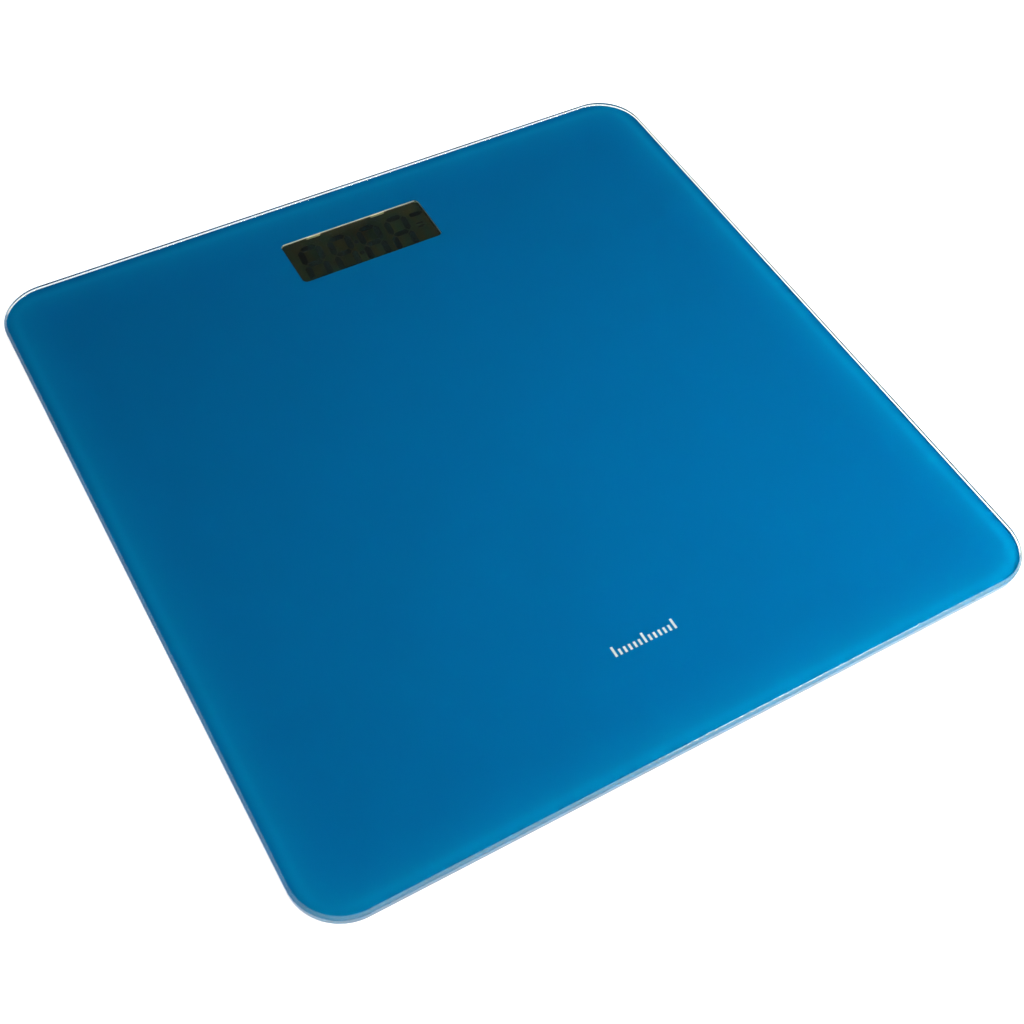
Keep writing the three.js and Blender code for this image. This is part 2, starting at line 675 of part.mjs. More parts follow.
// Each foot's group sits on its axis. The front feet's leads leave towards +Y, and the back
// feet's towards the housing, a little behind the foot's axis.
const FEET = [
  { name: "front_left", sx: -1, sy: -1, turn: 0, exit: 0 },
  { name: "front_right", sx: 1, sy: -1, turn: 0, exit: 0 },
  { name: "back_left", sx: -1, sy: 1, turn: -Math.PI / 2, exit: -BACK_EXIT },
  { name: "back_right", sx: 1, sy: 1, turn: Math.PI / 2, exit: BACK_EXIT },
];
for (const { name, sx, sy, turn, exit } of FEET) {
  const foot = new THREE.Group();
  foot.position.set(sx * FOOT_X, sy * FOOT_X, 0);
  foot.rotation.z = turn;
  scale.add(foot);
  place(foot, "foot_base_" + name, footBase(exit), M.foot);
  place(foot, "load_cell_" + name, loadCell(), M.steel);
  place(foot, "gauge_seal_" + name, gaugeSeal(), M.silicone);
  place(foot, "foot_retainer_" + name, footRetainer(), M.foot);
  place(foot, "foot_cap_" + name, footCap(), M.foot);
  place(foot, "foot_pad_" + name, footPad(), M.rubber);
  const route = sy < 0 ? FRONT_ROUTE : BACK_ROUTE;
  const points = route.map(([x, y, z]) => [sx * x, y, z]);
  place(scale, "cell_lead_" + name, cellLead(points), M.lead);
}
for (const [side, sx] of [["left", -1], ["right", 1]]) {
  CLIP_Y.forEach((y, i) => {
    const clip = place(scale, `lead_clip_${side}_${i + 1}`, leadClip(), M.housing);
    clip.position.set(sx * FOOT_X, y, 0);
  });
}

place(scale, "housing_frame", housingFrame(), M.housing);
place(scale, "back_cover", backCover(), M.housing);
place(scale, "lcd_panel", lcdPanel(), M.lcd);
place(scale, "zebra_connector", zebraConnector(), M.zebra);
place(scale, "circuit_board", circuitBoard(), M.board);
place(scale, "chip_blob", chipBlob(), M.epoxy);
place(scale, "unit_switch_body", switchBody(), M.switchBody);
place(scale, "unit_switch_plunger", switchPlunger(), M.button);
place(scale, "unit_button", unitButton(), M.button);
place(scale, "coin_cell", coinCell(), M.coin);
place(scale, "battery_contact_positive", positiveContact(), M.contact);
place(scale, "battery_contact_negative", negativeContact(), M.contact);
place(scale, "battery_door", batteryDoor(), M.housing);

COVER_SCREWS.forEach(([x, y], i) => {
  const one = place(scale, `cover_screw_${i + 1}`, screw(COVER_SCREW), M.screw);
  one.position.set(x, y, COVER.z0 + COUNTERBORE.depth);
});
BOARD_SCREWS.forEach(([x, y], i) => {
  const one = place(scale, `board_screw_${i + 1}`, screw(BOARD_SCREW), M.screw);
  one.position.set(x, y, BOARD.z0);
});

export default scale;
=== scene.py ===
"""A square glass-platform digital scale: looks, studio and camera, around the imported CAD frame.

Metres, +Z up, +Y away from the user, the same frame as the CAD. Named sizes are in millimetres
and go through MM. Places come from the frame wherever a CAD node gives them.
"""

import json
import math

import bmesh
import bpy
from mathutils import Matrix, Vector


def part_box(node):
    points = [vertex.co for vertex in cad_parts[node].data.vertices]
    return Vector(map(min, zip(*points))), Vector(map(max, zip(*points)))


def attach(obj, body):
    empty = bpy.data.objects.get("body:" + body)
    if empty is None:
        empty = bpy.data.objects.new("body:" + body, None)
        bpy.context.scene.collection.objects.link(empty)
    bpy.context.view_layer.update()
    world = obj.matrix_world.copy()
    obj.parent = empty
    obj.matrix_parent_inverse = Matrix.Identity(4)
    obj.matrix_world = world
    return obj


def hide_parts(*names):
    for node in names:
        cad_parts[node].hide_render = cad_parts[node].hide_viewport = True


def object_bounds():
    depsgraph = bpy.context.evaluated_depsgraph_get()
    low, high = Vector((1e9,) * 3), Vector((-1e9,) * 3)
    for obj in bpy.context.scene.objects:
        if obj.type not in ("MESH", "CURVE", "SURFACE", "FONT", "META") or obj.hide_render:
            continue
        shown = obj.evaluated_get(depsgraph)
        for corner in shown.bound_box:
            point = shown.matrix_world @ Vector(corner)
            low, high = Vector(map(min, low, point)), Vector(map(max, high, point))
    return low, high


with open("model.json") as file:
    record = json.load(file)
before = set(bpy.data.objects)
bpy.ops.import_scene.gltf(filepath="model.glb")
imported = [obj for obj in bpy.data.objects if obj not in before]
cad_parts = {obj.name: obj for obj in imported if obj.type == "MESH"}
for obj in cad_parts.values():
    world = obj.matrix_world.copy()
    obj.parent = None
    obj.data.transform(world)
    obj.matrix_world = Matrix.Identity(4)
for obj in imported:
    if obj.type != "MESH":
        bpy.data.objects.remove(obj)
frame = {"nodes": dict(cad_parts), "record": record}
cad_low, cad_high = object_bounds()

MM = 0.001
UP = Vector((0, 0, 1))
CORNERS = ("front_left", "front_right", "back_left", "back_right")
BODY_OF = {n: body for body, names in frame["record"]["behaviour"]["bodies"].items() for n in names}

# ---------------------------------------------------------------- driving dimensions, in mm

PLATE = {"corner": 18.4, "above": 1.0, "below": 0.5, "blunt": 0.06, "corner_steps": 24}
FILM = {"margin": 0.5, "bite": 0.02}  # bite: how far the colour reaches into the glass
WINDOW = {"width": 61.0, "depth": 22.75, "corner": 2.0, "y": 109.0}
SHADE_STRIP_HEIGHT = 0.6  # of the painted shade: a dark strip at the foot of the window's walls, where they meet the display

DIGIT = {"width": 10.0, "height": 20.0, "stroke": 2.5, "slant": 0.09, "gap": 0.35, "base": -12.0}
DIGIT_X = (-22.2, -9.6, 3.4, 15.8)

SCALE_MARK = {
    "width": 23.4, "y": -98.7, "short": 2.3, "tall": 4.0, "stroke": 0.9, "count": 13,
    "tall_every": 6,
}

ENAMEL = (0.0, 0.156, 0.470)
PAINTED_RIM_REACH = 24.0  # how far in from the edge the painted rim light reaches into the enamel
# Painted light and shade on the enamel, by distance from the edge: a gain below 1 gives a painted
# dark hairline at the very edge, and a gain above 1 gives a painted pale band a few millimetres in.
PAINTED_RIM_GAIN = (
    (0.0, 0.80), (0.05, 0.85), (0.17, 1.6), (0.27, 1.25),
    (0.42, 1.12), (0.7, 1.03), (1.0, 1.0),
)
PAINTED_RIM_BLUE = 0.5  # how much of the painted rim light the blue takes, so the painted rim turns towards cyan

SCREW = {"big_head": 2.3, "pitch": 0.7, "cut": 0.3}  # big_head: the cover's are larger than this
WIRE = {"radius": 0.42, "spread": 0.55, "sides": 10, "twist": 0.09, "step": 1.5}

CAMERA = {
    "lens_mm": 51.86,
    "sensor_mm": 36.0,
    "azimuth": 34.738,
    "elevation": 54.124,
    "roll": 5.936,
    "distance": 512.09,
    "aim": (-14.139, -35.429),
    "aim_below_top": 0.3,
}


# ---------------------------------------------------------------- mesh helpers


def middle(node):
    """The middle of a CAD node in plan, in mm."""
    low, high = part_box(node)
    return ((low.x + high.x) / 2 / MM, (low.y + high.y) / 2 / MM)


def rounded_rect(width, depth, radius, centre=(0, 0), steps=8):
    """The outline of a rectangle with round corners, anticlockwise, in mm."""
    cx, cy = centre
    points = []
    for quarter, (sx, sy) in enumerate(((1, -1), (1, 1), (-1, 1), (-1, -1))):
        ox, oy = cx + sx * (width / 2 - radius), cy + sy * (depth / 2 - radius)
        for i in range(steps + 1):
            angle = math.radians(90 * (quarter - 1 + i / steps))
            points.append((ox + radius * math.cos(angle), oy + radius * math.sin(angle)))
    return points


def circle(radius, centre=(0, 0), steps=24):
    cx, cy = centre
    angles = [2 * math.pi * i / steps for i in range(steps)]
    return [(cx + radius * math.cos(a), cy + radius * math.sin(a)) for a in angles]


def add_ring(bm, outline, z):
    return [bm.verts.new((x * MM, y * MM, z * MM)) for x, y in outline]


def bridge(bm, low, high, smooth=True, slot=0):
    count = len(low)
    for i in range(count):
        j = (i + 1) % count
        face = bm.faces.new((low[i], low[j], high[j], high[i]))
        face.smooth = smooth
        face.material_index = slot


def loft(bm, rings, smooth=True, slot=0):
    """Joins (outline, z) rings from the bottom up into one closed body with flat ends."""
    rows = [add_ring(bm, outline, z) for outline, z in rings]
    for low, high in zip(rows, rows[1:]):
        bridge(bm, low, high, smooth, slot)
    for row in (rows[0][::-1], rows[-1]):
        bm.faces.new(row).material_index = slot
    return rows


def prism(bm, outlines, z0, z1, slot=0):
    """A flat piece between two heights: the first outline is its edge, the rest are holes."""
    loops = [add_ring(bm, outline, z1) for outline in outlines]
    edges = []
    for loop in loops:
        edges += [bm.edges.new((loop[i - 1], loop[i])) for i in range(len(loop))]
    made = bmesh.ops.triangle_fill(bm, use_beauty=True, edges=edges)
    top = [g for g in made["geom"] if isinstance(g, bmesh.types.BMFace)]
    for face in top:
        if face.normal.z < 0:
            face.normal_flip()
    below = {}
    for face in top:
        for vert in face.verts:
            if vert not in below:
                below[vert] = bm.verts.new((vert.co.x, vert.co.y, z0 * MM))
    for face in top:
        face.material_index = slot
        bm.faces.new([below[v] for v in reversed(face.verts)]).material_index = slot
    for loop in loops:
        for i in range(len(loop)):
            a, b = loop[i - 1], loop[i]
            bm.faces.new((a, b, below[b], below[a])).material_index = slot
    bmesh.ops.recalc_face_normals(bm, faces=bm.faces)


def lathe(bm, profile, centre=(0, 0), sides=64, slot=0):
    """Turns (radius, z) pairs, from the bottom up, about an upright axis through centre."""
    rings = []
    for radius, z in profile:
        if radius > 0:
            rings.append(add_ring(bm, circle(radius, centre, sides), z))
        else:
            rings.append([bm.verts.new((centre[0] * MM, centre[1] * MM, z * MM))])
    for low, high in zip(rings, rings[1:]):
        if len(low) == 1 or len(high) == 1:
            tip, rim = (low[0], high) if len(low) == 1 else (high[0], low)
            for i in range(sides):
                pair = (rim[i], rim[(i + 1) % sides])
                face = bm.faces.new((tip, *(reversed(pair) if len(low) == 1 else pair)))
                face.smooth = True
                face.material_index = slot
        else:
            bridge(bm, low, high, True, slot)


def arc(centre, radius, start, end, steps=4):
    """Points of an arc in a profile, with angles in degrees, 0 pointing outwards and 90 up."""
    angles = [math.radians(start + (end - start) * i / steps) for i in range(steps + 1)]
    return [(centre[0] + radius * math.cos(a), centre[1] + radius * math.sin(a)) for a in angles]


def add_box(bm, low, high, slot=0):
    outline = [(low[0], low[1]), (high[0], low[1]), (high[0], high[1]), (low[0], high[1])]
    loft(bm, [(outline, low[2]), (outline, high[2])], smooth=False, slot=slot)


def add_tube(bm, path, radius, sides, slot=0):
    """A closed round tube along a list of points, in mm."""
    points = [Vector(p) * MM for p in path]
    side = (points[1] - points[0]).cross(UP).normalized()
    rings = []
    for i, point in enumerate(points):
        ahead = (points[min(i + 1, len(points) - 1)] - points[max(i - 1, 0)]).normalized()
        side = (side - ahead * side.dot(ahead)).normalized()
        across = ahead.cross(side)
        turns = [2 * math.pi * k / sides for k in range(sides)]
        ring = [point + (side * math.cos(t) + across * math.sin(t)) * radius * MM for t in turns]
        rings.append([bm.verts.new(co) for co in ring])
    for low, high in zip(rings, rings[1:]):
        bridge(bm, low, high, True, slot)
    for ring in (rings[0][::-1], rings[-1]):
        bm.faces.new(ring).material_index = slot


def new_piece(name, bm, materials, body, replaces=(), angle=35):
    """Makes the object, smooths all but its sharp edges and hangs it on its body."""
    bmesh.ops.recalc_face_normals(bm, faces=bm.faces)
    mesh = bpy.data.meshes.new(name)
    bm.to_mesh(mesh)
    bm.free()
    for one in materials:
        mesh.materials.append(one)
    piece = bpy.data.objects.new(name, mesh)
    bpy.context.scene.collection.objects.link(piece)
    if angle:
        mesh.shade_smooth()
        mesh.set_sharp_from_angle(angle=math.radians(angle))
    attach(piece, body)
    if replaces:
        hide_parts(*replaces)
    return piece


def bevelled(piece, width, segments=2, angle=30):
    """Rounds a piece's sharp edges, as moulding and stamping leave them."""
    modifier = piece.modifiers.new("rounded_edges", "BEVEL")
    modifier.width = width * MM
    modifier.segments = segments
    modifier.limit_method = "ANGLE"
    modifier.angle_limit = math.radians(angle)
    modifier.miter_outer = "MITER_ARC"
    modifier.use_clamp_overlap = True
    smooth = piece.modifiers.new("even_shading", "WEIGHTED_NORMAL")
    smooth.keep_sharp = True
    return piece


def refined(node, material, width, segments=2, extra=None, others=()):
    """Stands for a CAD node: its own shape with flat faces made whole, and its edges rounded."""
    bm = bmesh.new()
    bm.from_mesh(frame["nodes"][node].data)
    bmesh.ops.remove_doubles(bm, verts=bm.verts, dist=0.002 * MM)
    bmesh.ops.dissolve_limit(bm, angle_limit=math.radians(0.6), verts=bm.verts, edges=bm.edges)
    for face in bm.faces:
        face.material_index = 0
    if extra:
        extra(bm)
    materials = [material, *others]
    piece = new_piece(node + "_shell", bm, materials, BODY_OF[node], (node,))
    return bevelled(piece, width, segments)


# ---------------------------------------------------------------- material helpers


def principled(name, colour, roughness, **sockets):
    """A new material and its shader. sockets are the shader's own, with _ for each space."""
    material = bpy.data.materials.new(name)
    material.use_nodes = True
    shader = material.node_tree.nodes["Principled BSDF"]
    shader.inputs["Base Color"].default_value = (*colour, 1)
    shader.inputs["Roughness"].default_value = roughness
    for socket, value in sockets.items():
        shader.inputs[socket.replace("_", " ")].default_value = value
    return material, shader


def add_node(material, kind, **settings):
    node = material.node_tree.nodes.new(kind)
    for key, value in settings.items():
        setattr(node, key, value)
    return node


def object_space(material, stretch=(1, 1, 1)):
    """The piece's own coordinates, in metres, scaled along each axis."""
    place = add_node(material, "ShaderNodeTexCoord")
    mapping = add_node(material, "ShaderNodeMapping")
    mapping.inputs["Scale"].default_value = stretch
    material.node_tree.links.new(place.outputs["Object"], mapping.inputs["Vector"])
    return mapping.outputs["Vector"]


def noise(material, size, detail=3.0, stretch=(1, 1, 1), roughness=0.5):
    """Cloudy variation whose patches are about size mm across."""
    node = add_node(material, "ShaderNodeTexNoise")
    node.inputs["Scale"].default_value = 1 / (size * MM)
    node.inputs["Detail"].default_value = detail
    node.inputs["Roughness"].default_value = roughness
    material.node_tree.links.new(object_space(material, stretch), node.inputs["Vector"])
    return node.outputs["Fac"]


def cells(material, size, stretch=(1, 1, 1)):
    """Small pits and grains about size mm across."""
    node = add_node(material, "ShaderNodeTexVoronoi")
    node.inputs["Scale"].default_value = 1 / (size * MM)
    material.node_tree.links.new(object_space(material, stretch), node.inputs["Vector"])
    return node.outputs["Distance"]


def vary_colour(material, shader, factor, dark, light, low=0.35, high=0.65):
    ramp = add_node(material, "ShaderNodeValToRGB")
    ramp.color_ramp.elements[0].position = low
    ramp.color_ramp.elements[1].position = high
    ramp.color_ramp.elements[0].color = (*dark, 1)
    ramp.color_ramp.elements[1].color = (*light, 1)
    material.node_tree.links.new(factor, ramp.inputs["Fac"])
    material.node_tree.links.new(ramp.outputs["Color"], shader.inputs["Base Color"])
    return ramp.outputs["Color"]


def vary_roughness(material, shader, factor, smooth, rough):
    spread = add_node(material, "ShaderNodeMapRange")
    spread.inputs["From Min"].default_value = 0.3
    spread.inputs["From Max"].default_value = 0.7
    spread.inputs["To Min"].default_value = smooth
    spread.inputs["To Max"].default_value = rough
    material.node_tree.links.new(factor, spread.inputs["Value"])
    material.node_tree.links.new(spread.outputs["Result"], shader.inputs["Roughness"])


def add_bump(material, shader, factor, height, strength=1.0):
    """Raises the surface by height mm where factor is 1, on top of any bump already there."""
    bump = add_node(material, "ShaderNodeBump")
    bump.inputs["Distance"].default_value = height * MM
    bump.inputs["Strength"].default_value = strength
    links = material.node_tree.links
    links.new(factor, bump.inputs["Height"])
    for link in list(shader.inputs["Normal"].links):
        links.new(link.from_socket, bump.inputs["Normal"])
    links.new(bump.outputs["Normal"], shader.inputs["Normal"])


# ---------------------------------------------------------------- materials


def clear_glass():
    """Float glass: clear, with the faint roller wave that toughening leaves."""
    material, shader = principled(
        "toughened_glass", (0.97, 0.99, 0.985), 0.0, IOR=1.52, Transmission_Weight=1.0
    )
    add_bump(material, shader, noise(material, 45, 1, (1, 0.35, 1)), 0.004)
    return material


def glass_edge():
    """The ground and polished edge: fine lines along it, under the polish."""
    material, shader = principled(
        "polished_glass_edge", (0.97, 0.99, 0.985), 0.0, IOR=1.52, Transmission_Weight=1.0
    )
    add_bump(material, shader, noise(material, 0.5, 2, (0.15, 0.15, 1)), 0.0012)
    return material


def ground_arris():
    """The narrow slopes along the edge, ground but not polished, so they look a little milky."""
    material, shader = principled(
        "ground_glass_arris", (0.85, 0.97, 0.96), 0.18, IOR=1.52, Transmission_Weight=0.92
    )
    grit = noise(material, 0.6, 4, (0.3, 0.3, 1))
    vary_colour(material, shader, grit, (0.82, 0.95, 0.935), (0.88, 0.99, 0.975))
    add_bump(material, shader, grit, 0.002)
    return material


def blue_colour():
    """The enamel seen through the glass: deep blue, with the slight cloud of a printed coat.

    The last centimetre or two has painted light in its colour: a paler band standing for light that
    the glass's edge takes in, with a painted dark hairline at the very edge.
    """
    material, shader = principled("blue_enamel", ENAMEL, 1.0, Specular_IOR_Level=0.0)
    darker, lighter = ([c * f for c in ENAMEL] for f in (0.985, 1.015))
    vary_colour(material, shader, noise(material, 26, 4), darker, lighter, 0.2, 0.8)
    # painted rim light and shade, multiplied into the enamel's colour
    paint_rim_light_and_shade(material, shader, edge_distance(material), PAINTED_RIM_GAIN)
    return material


def edge_distance(material):
    """How far a point is in from the plate's edge, from 0 there to 1 where the painted rim light
    ends.
    """
    links = material.node_tree.links
    split = add_node(material, "ShaderNodeSeparateXYZ")
    links.new(object_space(material), split.inputs["Vector"])
    sides = []
    for axis in ("X", "Y"):
        side = add_node(material, "ShaderNodeMath", operation="ABSOLUTE")
        links.new(split.outputs[axis], side.inputs[0])
        sides.append(side.outputs["Value"])
    further = add_node(material, "ShaderNodeMath", operation="SMOOTH_MAX")
    further.inputs[2].default_value = PLATE["corner"] * MM
    links.new(sides[0], further.inputs[0])
    links.new(sides[1], further.inputs[1])
    inward = add_node(material, "ShaderNodeMapRange")
    half = cad_high.x
    inward.inputs["From Min"].default_value = half
    inward.inputs["From Max"].default_value = half - PAINTED_RIM_REACH * MM
    links.new(further.outputs["Value"], inward.inputs["Value"])
    return inward.outputs["Result"]


def paint_rim_light_and_shade(material, shader, factor, gains):
    """Paints rim light and shade: multiplies the colour by a gain that runs through (position,
    gain) pairs of factor.
    """
    links = material.node_tree.links
    curve = add_node(material, "ShaderNodeValToRGB")
    curve.color_ramp.interpolation = "B_SPLINE"
    most = max(gain for _, gain in gains)
    while len(curve.color_ramp.elements) < len(gains):
        curve.color_ramp.elements.new(1.0)
    for stop, (position, gain) in zip(curve.color_ramp.elements, gains):
        stop.position = position
        stop.color = (gain / most, gain / most, (1 + PAINTED_RIM_BLUE * (gain - 1)) / most, 1)
    strengthened = add_node(material, "ShaderNodeVectorMath", operation="SCALE")
    strengthened.inputs["Scale"].default_value = most
    links.new(factor, curve.inputs["Fac"])
    links.new(curve.outputs["Color"], strengthened.inputs["Vector"])
    product = add_node(material, "ShaderNodeVectorMath", operation="MULTIPLY")
    colour = shader.inputs["Base Color"]
    links.new(colour.links[0].from_socket, product.inputs[0])
    links.new(strengthened.outputs["Vector"], product.inputs[1])
    links.new(product.outputs["Vector"], colour)


def film_back():
    """The coat's grey underside, with the weave of the printing screen."""
    material, shader = principled("film_back_grey", (0.62, 0.63, 0.64), 0.6)
    cloud = noise(material, 14, 5)
    vary_colour(material, shader, cloud, (0.55, 0.56, 0.575), (0.66, 0.67, 0.68))
    vary_roughness(material, shader, cloud, 0.5, 0.7)
    add_bump(material, shader, cells(material, 0.35), 0.01)
    return material


def mark_ink():
    material, shader = principled("pale_grey_ink", (0.75, 0.83, 0.95), 1.0, Specular_IOR_Level=0.0)
    grain = noise(material, 0.6, 3)
    vary_colour(material, shader, grain, (0.71, 0.79, 0.92), (0.79, 0.86, 0.98))
    return material


def polariser():
    """The display's front sheet: glossy, dark olive, with brown and green clouds in it."""
    material, shader = principled("display_polariser", (0.03, 0.042, 0.024), 0.04)
    cloud = noise(material, 7, 2, (1, 0.35, 1))
    vary_colour(material, shader, cloud, (0.019, 0.033, 0.024), (0.031, 0.030, 0.016), 0.4, 0.6)
    vary_roughness(material, shader, noise(material, 4, 3), 0.025, 0.06)
    add_bump(material, shader, noise(material, 18, 1), 0.003)
    return material


def ghost_segment():
    """The resting segments: bluer and darker than the sheet round them."""
    material, shader = principled("display_segments", (0.009, 0.019, 0.021), 0.05)
    haze = noise(material, 7, 3)
    vary_colour(material, shader, haze, (0.007, 0.018, 0.022), (0.010, 0.021, 0.025))
    vary_roughness(material, shader, haze, 0.03, 0.07)
    return material


def display_glass():
    material, shader = principled("display_glass", (0.30, 0.40, 0.36), 0.15)
    cloud = noise(material, 5, 3)
    vary_colour(material, shader, cloud, (0.26, 0.36, 0.32), (0.34, 0.44, 0.40))
    vary_roughness(material, shader, cloud, 0.08, 0.2)
    return material


def white_abs(name, painted_brightness):
    """Moulded ABS with a fine spark-eroded skin and a trace of handling. A brightness factor above
    1 paints light into its colour, and one below 1 paints shade.
    """
    dark = [c * painted_brightness for c in (0.69, 0.69, 0.67)]
    light = [c * painted_brightness for c in (0.77, 0.77, 0.75)]
    material, shader = principled(name, light, 0.5)
    cloud = noise(material, 30, 6)
    vary_colour(material, shader, cloud, dark, light, 0.25, 0.75)
    vary_roughness(material, shader, noise(material, 3, 4), 0.42, 0.62)
    add_bump(material, shader, cells(material, 0.35), 0.018)
    add_bump(material, shader, noise(material, 0.12, 2), 0.01)
    return material


def pad_rubber():
    material, shader = principled("pad_rubber", (0.035, 0.036, 0.038), 0.8)
    bloom = noise(material, 6, 5)
    vary_colour(material, shader, bloom, (0.026, 0.027, 0.029), (0.055, 0.056, 0.058))
    vary_roughness(material, shader, bloom, 0.7, 0.92)
    add_bump(material, shader, noise(material, 0.25, 4), 0.03)
    return material


def stamped_steel():
    """Nickel-plated spring steel, with rolling lines and a dull cloud."""
    material, shader = principled("nickel_spring_steel", (0.55, 0.55, 0.54), 0.35, Metallic=1.0)
    cloud = noise(material, 7, 5)
    vary_colour(material, shader, cloud, (0.44, 0.44, 0.43), (0.60, 0.60, 0.585))
    vary_roughness(material, shader, noise(material, 1.2, 4, (1, 0.06, 1)), 0.26, 0.44)
    add_bump(material, shader, noise(material, 0.25, 3, (1, 0.04, 1)), 0.004)
    return material


def silicone():
    material, shader = principled("silicone_seal", (0.80, 0.79, 0.74), 0.45)
    shader.inputs["Subsurface Weight"].default_value = 0.2
    shader.inputs["Subsurface Scale"].default_value = 1.5 * MM
    cloud = noise(material, 2, 4)
    vary_colour(material, shader, cloud, (0.74, 0.73, 0.67), (0.85, 0.84, 0.80))
    add_bump(material, shader, noise(material, 1.4, 3), 0.12)
    return material


def conductive_rubber():
    """Black and grey layers across the strip, five to the millimetre."""
    material, shader = principled("layered_rubber", (0.10, 0.10, 0.11), 0.7)
    wave = add_node(material, "ShaderNodeTexWave")
    wave.inputs["Scale"].default_value = 250.0
    wave.inputs["Distortion"].default_value = 0.4
    material.node_tree.links.new(object_space(material), wave.inputs["Vector"])
    layers = wave.outputs["Fac"]
    vary_colour(material, shader, layers, (0.02, 0.02, 0.022), (0.35, 0.36, 0.37), 0.4, 0.6)
    add_bump(material, shader, layers, 0.02)
    return material


def solder_mask():
    """Green mask over copper: the tracks show as paler, slightly raised bands."""
    material, shader = principled("green_solder_mask", (0.012, 0.12, 0.045), 0.35)
    tracks = add_node(material, "ShaderNodeTexBrick", offset=0.37, squash=1.6)
    tracks.inputs["Scale"].default_value = 260.0
    tracks.inputs["Mortar Size"].default_value = 0.035
    tracks.inputs["Color1"].default_value = (0.010, 0.10, 0.036, 1)
    tracks.inputs["Color2"].default_value = (0.014, 0.125, 0.047, 1)
    tracks.inputs["Mortar"].default_value = (0.05, 0.24, 0.09, 1)
    links = material.node_tree.links
    links.new(object_space(material), tracks.inputs["Vector"])
    links.new(tracks.outputs["Color"], shader.inputs["Base Color"])
    add_bump(material, shader, tracks.outputs["Fac"], 0.03)
    vary_roughness(material, shader, noise(material, 4, 3), 0.28, 0.42)
    return material


def epoxy():
    material, shader = principled("black_epoxy", (0.012, 0.012, 0.013), 0.25)
    flow = noise(material, 2.5, 3)
    vary_colour(material, shader, flow, (0.009, 0.009, 0.010), (0.02, 0.02, 0.021))
    vary_roughness(material, shader, flow, 0.16, 0.36)
    add_bump(material, shader, flow, 0.12)
    return material


def moulded(name, dark, light, smooth, rough, grain=0.3, height=0.012):
    """Plain moulded plastic: a cloud in the colour and a fine grain on the skin."""
    material, shader = principled(name, dark, smooth)
    cloud = noise(material, 5, 4)
    vary_colour(material, shader, cloud, dark, light)
    vary_roughness(material, shader, cloud, smooth, rough)
    add_bump(material, shader, cells(material, grain), height)
    return material


def turned_metal(name, dark, light, smooth, rough, centre):
    """Bright metal with the fine rings of a lathe or a press about an upright axis."""
    material, shader = principled(name, light, smooth, Metallic=1.0)
    rings = add_node(material, "ShaderNodeTexWave", wave_type="RINGS", rings_direction="Z")
    rings.inputs["Scale"].default_value = 700.0
    rings.inputs["Distortion"].default_value = 1.5
    rings.inputs["Detail"].default_value = 2.0
    mapping = add_node(material, "ShaderNodeMapping")
    mapping.inputs["Location"].default_value = (-centre[0] * MM, -centre[1] * MM, 0)
    place = add_node(material, "ShaderNodeTexCoord")
    links = material.node_tree.links
    links.new(place.outputs["Object"], mapping.inputs["Vector"])
    links.new(mapping.outputs["Vector"], rings.inputs["Vector"])
    scuff = noise(material, 3, 5)
    vary_colour(material, shader, scuff, dark, light)
    vary_roughness(material, shader, scuff, smooth, rough)
    add_bump(material, shader, rings.outputs["Fac"], 0.002)
    return material


def wire_skin(name, dark, light):
    return moulded(name, dark, light, 0.4, 0.55, grain=0.5, height=0.01)


def white_floor():
    """A plain pale light table, which glows a little so that it shows hardly any shadow."""
    material, shader = principled("pale_floor", (0.4, 0.4, 0.4), 0.9, Specular_IOR_Level=0.1)
    shader.inputs["Emission Color"].default_value = (1, 1, 1, 1)
    shader.inputs["Emission Strength"].default_value = FLOOR["glow"]
    cloud = noise(material, 400, 3)
    vary_colour(material, shader, cloud, (0.39, 0.39, 0.39), (0.41, 0.41, 0.41))
    return material


# ---------------------------------------------------------------- the plate


def ground_slab(size, corner, low, high):
    """Rings for a slab with a flat arris at each end, its four edges a little blunt."""
    above, below, blunt = PLATE["above"], PLATE["below"], PLATE["blunt"]
    profile = [
        (below + blunt, low),
        (below - blunt, low + blunt),
        (blunt, low + below - blunt),
        (0, low + below + blunt),
        (0, high - above - blunt),
        (blunt, high - above + blunt),
        (above - blunt, high - blunt),
        (above + blunt, high),
    ]
    steps = PLATE["corner_steps"]
    return [
        (rounded_rect(size - 2 * inset, size - 2 * inset, corner - inset, steps=steps), z)
        for inset, z in profile
    ]


def glass_plate():
    low, high = (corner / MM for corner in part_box("glass_platform"))
    bm = bmesh.new()
    loft(bm, ground_slab(high.x - low.x, PLATE["corner"], low.z, high.z))
    bm.normal_update()
    flat, sloping = 0.99, 0.5
    for face in bm.faces:
        lean = abs(face.normal.z)
        face.material_index = 0 if lean > flat else 2 if lean > sloping else 1
    materials = [clear_glass(), glass_edge(), ground_arris()]
    return new_piece(
        "glass_plate", bm, materials, "platform", ("glass_platform",), 12
    )


def colour_layer():
    """The blue coat, its front face a hair inside the glass so that no air lies between."""
    low, high = (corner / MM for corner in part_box("colour_film"))
    size = high.x - low.x
    outline = rounded_rect(
        size, size, PLATE["corner"] - FILM["margin"], steps=PLATE["corner_steps"]
    )
    hole = rounded_rect(WINDOW["width"], WINDOW["depth"], WINDOW["corner"], (0, WINDOW["y"]), 6)
    bm = bmesh.new()
    prism(bm, [outline, hole[::-1]], low.z, high.z + FILM["bite"])
    for face in bm.faces:
        face.material_index = 1 if face.normal.z < -0.5 else 0
    materials = [blue_colour(), film_back()]
    return new_piece("colour_layer", bm, materials, "platform", ("colour_film",), 1)


